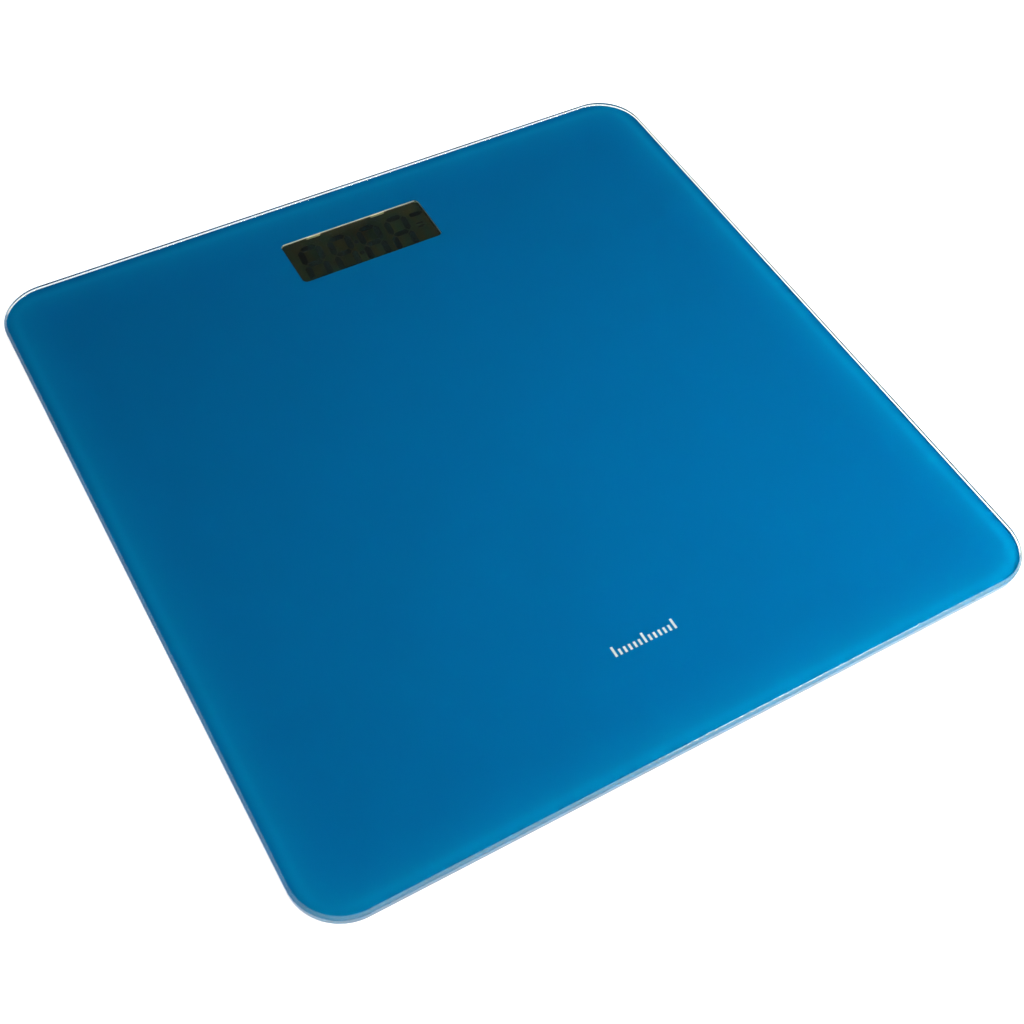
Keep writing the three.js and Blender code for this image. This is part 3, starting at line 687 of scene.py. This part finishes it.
def graduation():
    """A short row of plain strokes near the front edge, printed between glass and colour."""
    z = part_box("colour_film")[1].z / MM + FILM["bite"]
    bm = bmesh.new()
    last = SCALE_MARK["count"] - 1
    half = SCALE_MARK["stroke"] / 2
    for i in range(SCALE_MARK["count"]):
        x = SCALE_MARK["width"] * (i / last - 0.5)
        tall = SCALE_MARK["tall"] if i % SCALE_MARK["tall_every"] == 0 else SCALE_MARK["short"]
        y = SCALE_MARK["y"] - SCALE_MARK["tall"] / 2
        add_box(bm, (x - half, y, z - 0.005), (x + half, y + tall, z + 0.015))
    return new_piece("front_graduation", bm, [mark_ink()], "platform", angle=1)


# ---------------------------------------------------------------- the display


def segment(start, end, stroke, gap):
    """One bar of a digit: a long hexagon from start to end, pointed at both ends."""
    a, b = Vector(start), Vector(end)
    along = (b - a).normalized()
    across = Vector((-along.y, along.x)) * stroke / 2
    a, b = a + along * gap, b - along * gap
    tip = along * stroke / 2
    return [a, a + tip - across, b - tip - across, b, b - tip + across, a + tip + across]


def digit_outlines(x, base):
    """The seven bars of one resting digit, leaning a little to the right."""
    width, height, stroke = DIGIT["width"], DIGIT["height"], DIGIT["stroke"]
    left, right = -width / 2 + stroke / 2, width / 2 - stroke / 2
    bottom, middle, top = stroke / 2, height / 2, height - stroke / 2
    bars = [
        ((left, bottom), (right, bottom)),
        ((left, middle), (right, middle)),
        ((left, top), (right, top)),
        ((left, bottom), (left, middle)),
        ((left, middle), (left, top)),
        ((right, bottom), (right, middle)),
        ((right, middle), (right, top)),
    ]
    outlines = []
    for start, end in bars:
        bar = segment(start, end, stroke, DIGIT["gap"])
        outlines.append([(x + p.x + DIGIT["slant"] * p.y, base + p.y) for p in bar])
    return outlines


def display_signs():
    """The colon, the decimal points and the small battery and unit signs, as plain shapes."""
    base = WINDOW["y"] + DIGIT["base"]
    signs = [circle(0.95, (x, base + y), 16) for x, y in ((-2.5, 7.0), (-1.7, 13.4))]
    signs += [circle(0.7, (x, base + 0.9), 16) for x in (-15.9, 9.6)]
    signs.append(rounded_rect(4.6, 2.2, 0.4, (26.4, base + 17.2), 3))
    signs.append(rounded_rect(0.7, 1.1, 0.2, (29.3, base + 17.2), 2))
    signs.append(rounded_rect(3.2, 1.1, 0.3, (25.9, base + 11.8), 3))
    signs.append(rounded_rect(3.2, 1.1, 0.3, (25.9, base + 10.1), 3))
    return signs


def display_segments(z):
    bm = bmesh.new()
    outlines = display_signs()
    for x in DIGIT_X:
        outlines += digit_outlines(x, WINDOW["y"] + DIGIT["base"])
    for outline in outlines:
        loft(bm, [(outline, z - 0.01), (outline, z + 0.012)], smooth=False)
    return new_piece("display_segments", bm, [ghost_segment()], "platform", angle=1)


def display():
    """Two sheets of glass with a dark sheet on the front one; the rear one stops at the ledge."""
    low, high = (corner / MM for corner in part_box("lcd_panel"))
    centre = ((low.x + high.x) / 2, (low.y + high.y) / 2)
    width, depth = high.x - low.x, high.y - low.y
    ledge, sheet, film = 3.0, 1.1, 0.2
    bm = bmesh.new()
    front = rounded_rect(width, depth, 0.4, centre, 3)
    loft(bm, [(front, high.z - film - sheet), (front, high.z - film)], False, 1)
    skin = rounded_rect(width - 1.2, depth - 1.2, 0.6, centre, 3)
    loft(bm, [(skin, high.z - film + 0.005), (skin, high.z)], False, 0)
    rear = rounded_rect(width, depth - ledge, 0.4, (centre[0], centre[1] + ledge / 2), 3)
    loft(bm, [(rear, low.z + film), (rear, high.z - film - sheet - 0.02)], False, 1)
    back = rounded_rect(
        width - 1.2, depth - ledge - 1.2, 0.6, (centre[0], centre[1] + ledge / 2), 3
    )
    loft(bm, [(back, low.z), (back, low.z + film - 0.005)], False, 2)
    reflector = moulded("rear_reflector", (0.50, 0.51, 0.50), (0.60, 0.61, 0.60), 0.3, 0.45)
    materials = [polariser(), display_glass(), reflector]
    new_piece("display_panel", bm, materials, "platform", ("lcd_panel",), 1)
    display_segments(high.z)


# ---------------------------------------------------------------- the feet


def foot_pad(corner, rubber):
    """A rubber disc with rounded edge and three ring grooves in its tread."""
    low, high = (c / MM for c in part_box("foot_pad_" + corner))
    radius = (high.x - low.x) / 2
    profile = [(0, 0)]
    for groove in (3.0, 6.5, 10.0):
        profile += [(groove, 0), (groove + 0.2, 0.35), (groove + 0.9, 0.35), (groove + 1.1, 0)]
    profile += arc((radius - 0.6, 0.6), 0.6, -90, 0)
    profile += [(radius, high.z), (0, high.z)]
    bm = bmesh.new()
    lathe(bm, profile, middle("foot_pad_" + corner))
    body = "foot_" + corner
    new_piece("pad_" + corner, bm, [rubber], body, ("foot_pad_" + corner,))


def foot_cap(corner, plastic):
    """The moulded cup that carries the pad and presses the load cell with its boss."""
    bottom, wall_top, flange_low, flange_high, boss_top = 0.75, 8.2, 7.0, 8.2, 8.7
    radius, recess, flange, seat, floor = 16.1, 13.75, 18.0, 1.75, 3.0
    profile = [(0, seat), (recess, seat), (recess, bottom + 0.15), (recess + 0.15, bottom)]
    profile += arc((radius - 0.7, bottom + 0.7), 0.7, -90, 0)
    profile += [(radius, flange_low - 0.2), (radius + 0.2, flange_low)]
    profile += arc((flange - 0.25, flange_low + 0.25), 0.25, -90, 0, 2)
    profile += arc((flange - 0.25, flange_high - 0.25), 0.25, 0, 90, 2)
    profile += [(radius - 1.6, wall_top), (radius - 1.6, floor + 0.4), (radius - 2.0, floor)]
    profile += [(3.9, floor), (3.5, floor + 0.4), (3.5, boss_top - 0.4)]
    profile += arc((3.1, boss_top - 0.4), 0.4, 0, 90, 3)
    profile += [(0, boss_top)]
    bm = bmesh.new()
    lathe(bm, profile, middle("foot_pad_" + corner), 72)
    body = "foot_" + corner
    new_piece("cap_" + corner, bm, [plastic], body, ("foot_cap_" + corner,))


def feet(finish):
    for corner in CORNERS:
        refined("foot_base_" + corner, finish["cover"], 0.35)
        refined("foot_retainer_" + corner, finish["cover"], 0.25)
        refined("load_cell_" + corner, finish["steel"], 0.12)
        refined("gauge_seal_" + corner, finish["silicone"], 0.28, 3)
        foot_cap(corner, finish["cover"])
        foot_pad(corner, finish["rubber"])


# ---------------------------------------------------------------- the leads

FRONT_ROUTE = [
    (101, -89.5, 12.5), (101, -83, 12.5), (101, -78, 12.5), (101, -71, 14.1), (101, -63, 14.3),
    (101, -40, 14.3), (101, -15, 14.3), (101, 8, 14.3), (101, 24, 14.3), (98, 42, 14.3),
    (90, 59, 14.3), (79, 73, 14.3), (70, 82, 13.7), (64, 84, 12.5), (59, 84, 12.5),
    (48.3, 84, 11.6), (36.3, 84, 10.8),
]
BACK_ROUTE = [
    (89.3, 101, 12.5), (87.5, 105, 12.5), (84, 108.6, 12.5), (81, 109, 12.5), (78, 109, 12.5),
    (73, 111, 12.8), (68, 114.5, 12.8), (64, 116, 12.5), (59, 116, 12.5), (48.3, 116, 11.6),
    (36.3, 116, 10.8),
]


def smooth_route(points, step):
    """Even points on a smooth curve through the route's points, in mm."""
    knots = [Vector(p) for p in points]
    knots = [2 * knots[0] - knots[1], *knots, 2 * knots[-1] - knots[-2]]
    curve = []
    for a, b, c, d in zip(knots, knots[1:], knots[2:], knots[3:]):
        count = max(2, round((c - b).length / step))
        for i in range(count):
            t = i / count
            straight = 2 * b + (c - a) * t
            bend = (2 * a - 5 * b + 4 * c - d) * t * t + (3 * b - a - 3 * c + d) * t**3
            curve.append((straight + bend) / 2)
    return [*curve, knots[-2]]


def lead(corner, wires):
    """Three thin wires that lie together and turn slowly about each other."""
    route = FRONT_ROUTE if "front" in corner else BACK_ROUTE
    side = -1 if "left" in corner else 1
    path = smooth_route([(side * x, y, z) for x, y, z in route], WIRE["step"])
    bm = bmesh.new()
    for k in range(len(wires)):
        strand = []
        travelled = 0.0
        for i, point in enumerate(path):
            ahead = (path[min(i + 1, len(path) - 1)] - path[max(i - 1, 0)]).normalized()
            across = ahead.cross(UP).normalized()
            over = across.cross(ahead)
            turn = 2 * math.pi * k / len(wires) + travelled * WIRE["twist"]
            outward = across * math.cos(turn) + over * math.sin(turn)
            strand.append(point + outward * WIRE["spread"])
            travelled += WIRE["step"]
        add_tube(bm, strand, WIRE["radius"], WIRE["sides"], slot=k)
    node = "cell_lead_" + corner
    new_piece("lead_wires_" + corner, bm, wires, "platform", (node,))


def leads(finish):
    wires = [
        wire_skin("wire_red", (0.42, 0.02, 0.015), (0.52, 0.03, 0.02)),
        wire_skin("wire_white", (0.66, 0.65, 0.62), (0.76, 0.75, 0.72)),
        wire_skin("wire_black", (0.012, 0.012, 0.013), (0.03, 0.03, 0.031)),
    ]
    for corner in CORNERS:
        lead(corner, wires)
    for side in ("left", "right"):
        for i in (1, 2):
            refined(f"lead_clip_{side}_{i}", finish["abs"], 0.3)


# ---------------------------------------------------------------- the display housing


def door_ribs(bm):
    """Three low grip bars on the battery door's outer face, beside its finger dish."""
    low, high = (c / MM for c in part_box("battery_door"))
    y = (low.y + high.y) / 2
    for i in range(3):
        x = high.x - 5.5 - 1.8 * i
        outline = rounded_rect(0.8, 9.0, 0.38, (x, y), 3)
        loft(bm, [(outline, low.z + 0.3), (outline, low.z - 0.25)], smooth=False)


def screw_piece(node, steel, centre):
    """A pan-head screw, its domed head down, with a cross cut into it and a ribbed shank."""
    low, high = (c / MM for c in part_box(node))
    head = (high.x - low.x) / 2
    shank, thick = (1.2, 1.5) if head > SCREW["big_head"] else (1.0, 1.2)
    seat = low.z + thick
    profile = [(0, low.z)]
    profile += [(head * math.sin(t), seat - 0.25 - (thick - 0.25) * math.cos(t))
                for t in (math.radians(a) for a in range(15, 91, 15))]
    profile += [(head, seat), (shank, seat)]
    z = seat + 0.6
    while z < high.z - 1.2:
        profile += [(shank - SCREW["cut"], z), (shank, z + SCREW["pitch"] / 2)]
        z += SCREW["pitch"]
    profile += [(shank * 0.6, high.z - 0.5), (0, high.z)]
    bm = bmesh.new()
    lathe(bm, profile, centre, 32)
    piece = new_piece(node + "_turned", bm, [steel], "platform", (node,))
    arm, half = head * 0.55, head * 0.13
    cutter = bmesh.new()
    for reach_x, reach_y in ((arm, half), (half, arm)):
        add_box(
            cutter,
            (centre[0] - reach_x, centre[1] - reach_y, low.z - 1),
            (centre[0] + reach_x, centre[1] + reach_y, low.z + thick * 0.6),
        )
    carve(piece, cutter)


def carve(piece, cutter):
    """Cuts the bmesh cutter out of the piece for good."""
    mesh = bpy.data.meshes.new("cutter")
    cutter.to_mesh(mesh)
    cutter.free()
    tool = bpy.data.objects.new("cutter", mesh)
    bpy.context.scene.collection.objects.link(tool)
    modifier = piece.modifiers.new("cut", "BOOLEAN")
    modifier.operation = "DIFFERENCE"
    modifier.use_self = True
    modifier.object = tool
    bpy.context.view_layer.update()
    graph = bpy.context.evaluated_depsgraph_get()
    result = bpy.data.meshes.new_from_object(piece.evaluated_get(graph))
    piece.modifiers.remove(modifier)
    piece.data = result
    result.set_sharp_from_angle(angle=math.radians(35))
    bpy.data.objects.remove(tool)


def unit_button():
    """A round key with a shallow dish for the fingertip."""
    low, high = (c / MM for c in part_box("unit_button"))
    head, flange, step = 4.0, 5.25, 5.0
    profile = [(0, low.z + 0.35), (1.2, low.z + 0.28), (2.4, low.z + 0.1), (3.1, low.z)]
    profile += arc((head - 0.4, low.z + 0.4), 0.4, -90, 0)
    profile += [(head, step - 0.1), (head + 0.1, step), (flange, step)]
    profile += [(flange, high.z), (0, high.z)]
    bm = bmesh.new()
    lathe(bm, profile, middle("unit_button"), 48)
    grey = moulded("grey_key", (0.24, 0.27, 0.31), (0.29, 0.32, 0.36), 0.45, 0.6)
    new_piece("button_key", bm, [grey], "unit_button", ("unit_button",))


def coin_cell():
    """A steel coin cell: wide can below, crimped seal, and the smaller cap on top."""
    low, high = (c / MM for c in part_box("coin_cell"))
    radius, cap, shoulder = 10.0, 8.9, high.z - 0.4
    profile = [(0, low.z), (radius - 0.9, low.z), (radius - 0.7, low.z + 0.05)]
    profile += arc((radius - 0.35, low.z + 0.4), 0.35, -80, 0)
    profile += [(radius, shoulder - 0.3)]
    profile += arc((radius - 0.3, shoulder - 0.3), 0.3, 0, 90)
    profile += [(cap + 0.35, shoulder), (cap + 0.3, shoulder - 0.15), (cap, shoulder - 0.15)]
    profile += arc((cap - 0.25, high.z - 0.25), 0.25, 0, 90)
    profile += [(0, high.z)]
    centre = middle("coin_cell")
    bm = bmesh.new()
    lathe(bm, profile, centre, 96)
    steel = turned_metal("coin_steel", (0.50, 0.50, 0.49), (0.66, 0.66, 0.65), 0.16, 0.34, centre)
    new_piece("coin_cell_can", bm, [steel], "platform", ("coin_cell",))


def chip_blob():
    low, high = (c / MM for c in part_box("chip_blob"))
    radius, height = (high.x - low.x) / 2, high.z - low.z
    turns = [math.radians(a) for a in range(0, 91, 9)]
    profile = [(radius * math.sin(t), high.z - height * math.cos(t) ** 0.8) for t in turns[:-1]]
    profile += [(radius, high.z), (0, high.z)]
    bm = bmesh.new()
    lathe(bm, profile, middle("chip_blob"), 48)
    new_piece("chip_dome", bm, [epoxy()], "platform", ("chip_blob",))


def window_shade_strip_and_tabs(bm):
    """A dark strip of painted shade low on the window's walls, where they meet the display, and two
    olive snap tabs on the far one.
    """
    tab, strip = 1, 2
    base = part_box("lcd_panel")[1].z / MM
    shade_strip_top = base + SHADE_STRIP_HEIGHT
    half_x, half_y = WINDOW["width"] / 2 + 0.05, WINDOW["depth"] / 2 + 0.05

    def offset(face):
        return face.calc_center_median() / MM - Vector((0, WINDOW["y"], 0))

    def in_window(at):
        return abs(at.x) <= half_x and abs(at.y) <= half_y and at.z >= base - 0.01

    walls = []
    for face in bm.faces:
        at = offset(face)
        if not in_window(at):
            continue
        if half_y - 0.65 < at.y < half_y - 0.15 and at.z < shade_strip_top + 0.1:
            face.material_index = tab
        elif abs(face.normal.z) < 0.1:
            walls.append(face)
    parts = list(dict.fromkeys(p for face in walls for p in (*face.verts, *face.edges, face)))
    cut = Vector((0, 0, shade_strip_top * MM))
    bmesh.ops.bisect_plane(bm, geom=parts, dist=0.001 * MM, plane_co=cut, plane_no=UP)
    # the wall faces below the cut take the near-black painted shade
    for face in bm.faces:
        at = offset(face)
        if in_window(at) and at.z < shade_strip_top and face.material_index == 0:
            face.material_index = strip


def housing(finish):
    olive = moulded("olive_holder_plastic", (0.17, 0.20, 0.10), (0.22, 0.25, 0.13), 0.3, 0.45)
    # a near-black colour that paints shade at the foot of the window's walls
    painted_window_shade = moulded("painted_shade_strip", (0.010, 0.012, 0.010), (0.018, 0.020, 0.017), 0.8, 0.95)
    refined("housing_frame", finish["abs"], 0.3, extra=window_shade_strip_and_tabs, others=[olive, painted_window_shade])
    refined("back_cover", finish["cover"], 0.3)
    refined("battery_door", finish["cover"], 0.2, extra=door_ribs)
    refined("circuit_board", solder_mask(), 0.08)
    refined("zebra_connector", conductive_rubber(), 0.1)
    black = moulded("black_switch_plastic", (0.02, 0.02, 0.022), (0.035, 0.035, 0.037), 0.4, 0.6)
    refined("unit_switch_body", black, 0.15)
    refined("unit_switch_plunger", black, 0.1)
    bronze = turned_metal(
        "plated_bronze", (0.50, 0.46, 0.37), (0.66, 0.62, 0.52), 0.22, 0.4, middle("coin_cell")
    )
    refined("battery_contact_positive", bronze, 0.08)
    refined("battery_contact_negative", bronze, 0.08)
    for node in sorted(n for n in frame["nodes"] if "_screw_" in n):
        centre = middle(node)
        steel = turned_metal(
            node + "_zinc", (0.42, 0.42, 0.42), (0.6, 0.6, 0.59), 0.24, 0.42, centre
        )
        screw_piece(node, steel, centre)
    unit_button()
    coin_cell()
    chip_blob()


# ---------------------------------------------------------------- studio and camera

FLOOR = {"radius": 2500, "thick": 6, "glow": 0.95}
SKY = {"ring": 0.8, "top": 0.015, "ring_ends": 0.24, "top_starts": 0.56}
KEY = {"place": (262, -285, 450), "aim": (0, 0, 20), "size": 300, "watts": 8.2, "blue": 0.72}


def floor():
    bm = bmesh.new()
    outline = circle(FLOOR["radius"], steps=64)
    loft(bm, [(outline, -FLOOR["thick"]), (outline, 0)], smooth=False)
    mesh = bpy.data.meshes.new("floor")
    bm.to_mesh(mesh)
    bm.free()
    mesh.materials.append(white_floor())
    piece = bpy.data.objects.new("floor", mesh)
    bpy.context.scene.collection.objects.link(piece)


def sky():
    """Light from all round at low height, fading to a dark ceiling over the glass."""
    world = bpy.data.worlds.new("studio_sky")
    bpy.context.scene.world = world
    world.use_nodes = True
    nodes, links = world.node_tree.nodes, world.node_tree.links
    direction = nodes.new("ShaderNodeTexCoord")
    split = nodes.new("ShaderNodeSeparateXYZ")
    fade = nodes.new("ShaderNodeMapRange")
    fade.interpolation_type = "SMOOTHSTEP"
    fade.inputs["From Min"].default_value = SKY["ring_ends"]
    fade.inputs["From Max"].default_value = SKY["top_starts"]
    fade.inputs["To Min"].default_value = SKY["ring"]
    fade.inputs["To Max"].default_value = SKY["top"]
    links.new(direction.outputs["Generated"], split.inputs["Vector"])
    links.new(split.outputs["Z"], fade.inputs["Value"])
    links.new(fade.outputs["Result"], nodes["Background"].inputs["Strength"])
    nodes["Background"].inputs["Color"].default_value = (1, 1, 1, 1)


def key_light():
    light = bpy.data.lights.new("key", "AREA")
    light.shape = "SQUARE"
    light.size = KEY["size"] * MM
    light.energy = KEY["watts"]
    light.color = (1, 1, KEY["blue"])
    lamp = bpy.data.objects.new("key", light)
    bpy.context.scene.collection.objects.link(lamp)
    lamp.visible_camera = False
    lamp.location = Vector(KEY["place"]) * MM
    aim = (Vector(KEY["aim"]) - Vector(KEY["place"])) * MM
    lamp.rotation_euler = aim.to_track_quat("-Z", "Y").to_euler()


def camera():
    """Looks down at the plate from the front left, a little tilted to one side."""
    azimuth, elevation, roll = (math.radians(CAMERA[k]) for k in ("azimuth", "elevation", "roll"))
    ahead = Vector((
        math.sin(azimuth) * math.cos(elevation),
        math.cos(azimuth) * math.cos(elevation),
        -math.sin(elevation),
    ))
    level = Vector((math.cos(azimuth), -math.sin(azimuth), 0))
    top = level.cross(ahead)
    right = level * math.cos(roll) + top * math.sin(roll)
    up = right.cross(ahead)
    aim = Vector((*CAMERA["aim"], cad_high.z / MM - CAMERA["aim_below_top"])) * MM
    data = bpy.data.cameras.new("photo_camera")
    data.sensor_width = CAMERA["sensor_mm"]
    data.lens = CAMERA["lens_mm"]
    data.clip_start = 0.01
    eye = bpy.data.objects.new("photo_camera", data)
    bpy.context.scene.collection.objects.link(eye)
    turn = Matrix((right, up, -ahead)).transposed().to_4x4()
    eye.matrix_world = Matrix.Translation(aim - ahead * CAMERA["distance"] * MM) @ turn
    bpy.context.scene.camera = eye


def light_paths():
    """Enough bounces for the glass, denoised, and colours as they come."""
    scene = bpy.context.scene
    scene.view_settings.view_transform = "Standard"
    scene.cycles.use_denoising = True
    scene.cycles.max_bounces = 16
    scene.cycles.transmission_bounces = 16
    scene.cycles.caustics_refractive = True
    scene.cycles.sample_clamp_indirect = 0


# ---------------------------------------------------------------- assembly

# The frame and lead clips take the white ABS brightened by painted light. The cover, door and feet
# take the same plastic darkened by painted shade.
finish = {
    "abs": white_abs("white_abs_spark_painted_light", 1.08),
    "cover": white_abs("white_abs_spark_painted_shade", 0.72),
    "rubber": pad_rubber(),
    "steel": stamped_steel(),
    "silicone": silicone(),
}
camera()
glass_plate()
colour_layer()
graduation()
display()
feet(finish)
leads(finish)
housing(finish)
floor()
sky()
key_light()
light_paths()
